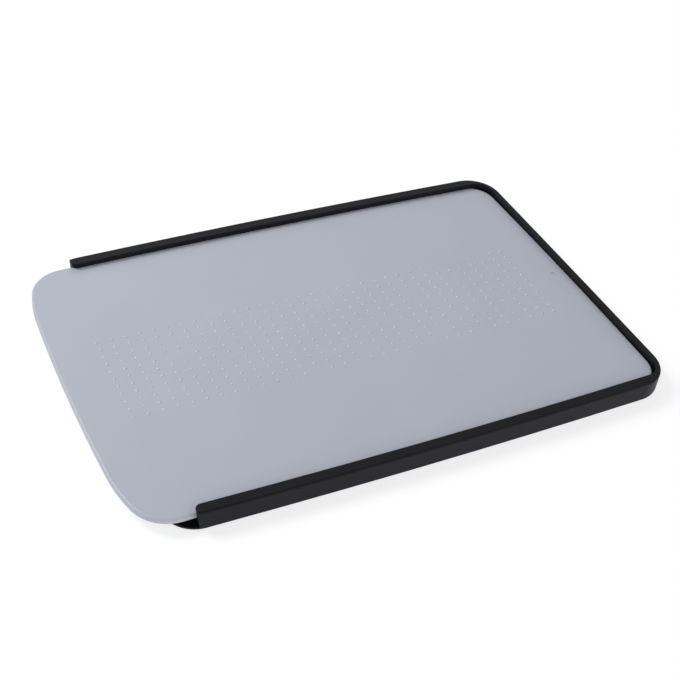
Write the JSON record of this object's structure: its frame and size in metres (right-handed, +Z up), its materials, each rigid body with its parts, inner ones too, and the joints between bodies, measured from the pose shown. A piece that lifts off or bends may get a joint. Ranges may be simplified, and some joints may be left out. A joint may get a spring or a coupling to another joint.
{
  "type": "cutting board with sliding tray",
  "caption": "Thin cutting board with rounded edges that slides like a drawer in the lipped grooves of a shallow open-ended tray.",
  "frame": {"origin": "on the surface it stands on, under the middle of the whole object with the board pushed in", "axes": "+X along the board towards the closed end, so that the board slides out towards -X; +Y across it towards the rear long side; +Z up"},
  "size_m": [0.4134, 0.279, 0.0167],
  "materials": {
    "tray_plastic": "moulded polypropylene with a fine satin texture",
    "board_plastic": "moulded polyethylene with a fine matt cutting texture",
    "pad_rubber": "soft anti-slip rubber"
  },
  "bodies": {
    "tray": {"tray": "tray_plastic", "foot_front_left": "pad_rubber", "foot_front_right": "pad_rubber", "foot_rear_left": "pad_rubber", "foot_rear_right": "pad_rubber"},
    "board": {"board": "board_plastic"}
  },
  "joints": [
    {"name": "board_slide", "type": "slide", "parent": "tray", "child": "board", "axis": [-1, 0, 0], "range_m": [0, 0.366]}
  ]
}
